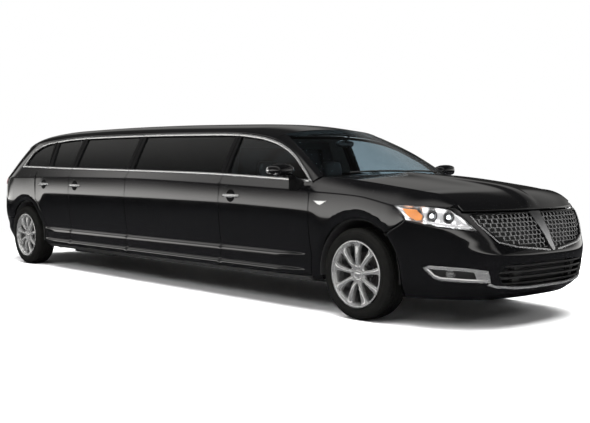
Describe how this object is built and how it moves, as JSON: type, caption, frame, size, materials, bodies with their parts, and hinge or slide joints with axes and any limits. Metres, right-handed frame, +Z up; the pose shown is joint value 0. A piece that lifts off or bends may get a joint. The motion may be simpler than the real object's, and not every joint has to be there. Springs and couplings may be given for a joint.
{
  "type": "stretch limousine",
  "caption": "Long black stretch limousine on alloy wheels, with hinged side doors, a lifting hood and tailgate, a split grille and a lounge cabin.",
  "frame": {"origin": "on the road under the middle of the car", "axes": "+X forwards along the car, +Y to its left, +Z up"},
  "size_m": [8.18, 2.4, 1.6897],
  "materials": {
    "body_paint": "high gloss black",
    "tinted_glass": "dark tinted",
    "clear_glass": "clear with a faint green tint",
    "underbody": "matt black",
    "dark_chrome": "dark bright",
    "lamp_clear": "clear",
    "chrome": "polished",
    "cast_metal": "as cast",
    "exhaust_steel": "dull",
    "black_plastic": "grained",
    "trim": "grained",
    "seat_leather": "satin",
    "lamp_red": "clear red",
    "tyre": "matt",
    "alloy": "polished"
  },
  "bodies": {
    "body": {"floor_pan": "underbody", "roof": "body_paint", "pillars": "body_paint", "front_fenders": "body_paint", "stretch_panels": "body_paint", "quarter_panels": "body_paint", "bumper_front": "body_paint", "bumper_rear": "body_paint", "grilles": "dark_chrome", "headlamps": "lamp_clear", "fog_bezels": "chrome", "windshield": "clear_glass", "cowl": "black_plastic", "fixed_glass": "tinted_glass", "engine": "cast_metal", "exhaust": "exhaust_steel", "fuel_tank": "black_plastic", "suspension": "cast_metal", "dashboard": "trim", "steering_wheel": "trim", "front_seats": "seat_leather", "partition": "trim", "lounge_seats": "seat_leather", "tail_lamps": "lamp_red"},
    "hood": {"hood": "body_paint"},
    "tailgate": {"tailgate": "body_paint", "tailgate_glass": "tinted_glass", "tailgate_lamp": "lamp_red"},
    "door_front_right": {"door_fr": "body_paint", "glass_fr": "tinted_glass", "mirror_r": "body_paint"},
    "door_front_left": {"door_fl": "body_paint", "glass_fl": "tinted_glass", "mirror_l": "body_paint"},
    "door_middle_right": {"door_mr": "body_paint", "glass_mr": "tinted_glass"},
    "door_middle_left": {"door_ml": "body_paint", "glass_ml": "tinted_glass"},
    "door_rear_right": {"door_rr": "body_paint", "glass_rr": "tinted_glass"},
    "door_rear_left": {"door_rl": "body_paint", "glass_rl": "tinted_glass"},
    "knuckle_right": {"knuckle_r": "cast_metal"},
    "knuckle_left": {"knuckle_l": "cast_metal"},
    "wheel_front_right": {"wheel_fr": "alloy", "tyre_fr": "tyre"},
    "wheel_front_left": {"wheel_fl": "alloy", "tyre_fl": "tyre"},
    "wheel_rear_right": {"wheel_rr": "alloy", "tyre_rr": "tyre"},
    "wheel_rear_left": {"wheel_rl": "alloy", "tyre_rl": "tyre"}
  },
  "joints": [
    {"name": "front_right_door_swing", "type": "hinge", "parent": "body", "child": "door_front_right", "pos_m": [2.3585, -0.94816, 0.86], "axis": [0, 0, 1], "range_deg": [0, 68]},
    {"name": "front_left_door_swing", "type": "hinge", "parent": "body", "child": "door_front_left", "pos_m": [2.3585, 0.94816, 0.86], "axis": [0, 0, -1], "range_deg": [0, 68]},
    {"name": "middle_right_door_swing", "type": "hinge", "parent": "body", "child": "door_middle_right", "pos_m": [-0.5215, -0.952, 0.86], "axis": [0, 0, 1], "range_deg": [0, 68]},
    {"name": "middle_left_door_swing", "type": "hinge", "parent": "body", "child": "door_middle_left", "pos_m": [-0.5215, 0.952, 0.86], "axis": [0, 0, -1], "range_deg": [0, 68]},
    {"name": "rear_right_door_swing", "type": "hinge", "parent": "body", "child": "door_rear_right", "pos_m": [-1.7665, -0.952, 0.86], "axis": [0, 0, 1], "range_deg": [0, 68]},
    {"name": "rear_left_door_swing", "type": "hinge", "parent": "body", "child": "door_rear_left", "pos_m": [-1.7665, 0.952, 0.86], "axis": [0, 0, -1], "range_deg": [0, 68]},
    {"name": "hood_lift", "type": "hinge", "parent": "body", "child": "hood", "pos_m": [2.449, 0, 1.11697], "axis": [0, -1, 0], "range_deg": [0, 50]},
    {"name": "tailgate_lift", "type": "hinge", "parent": "body", "child": "tailgate", "pos_m": [-3.476, 0, 1.5815], "axis": [0, 1, 0], "range_deg": [0, 78]},
    {"name": "steer_right", "type": "hinge", "parent": "body", "child": "knuckle_right", "pos_m": [2.91, -0.744, 0.365], "axis": [0, 0, 1], "range_deg": [-32, 32]},
    {"name": "steer_left", "type": "hinge", "parent": "body", "child": "knuckle_left", "pos_m": [2.91, 0.744, 0.365], "axis": [0, 0, 1], "range_deg": [-32, 32]},
    {"name": "front_right_wheel_spin", "type": "hinge", "parent": "knuckle_right", "child": "wheel_front_right", "pos_m": [2.91, -0.832, 0.365], "axis": [0, 1, 0], "continuous": true},
    {"name": "front_left_wheel_spin", "type": "hinge", "parent": "knuckle_left", "child": "wheel_front_left", "pos_m": [2.91, 0.832, 0.365], "axis": [0, 1, 0], "continuous": true},
    {"name": "rear_right_wheel_spin", "type": "hinge", "parent": "body", "child": "wheel_rear_right", "pos_m": [-2.91, -0.832, 0.365], "axis": [0, 1, 0], "continuous": true},
    {"name": "rear_left_wheel_spin", "type": "hinge", "parent": "body", "child": "wheel_rear_left", "pos_m": [-2.91, 0.832, 0.365], "axis": [0, 1, 0], "continuous": true}
  ],
  "couplings": [
    {"joint": "steer_right", "follows": "steer_left", "ratio": 1}
  ]
}
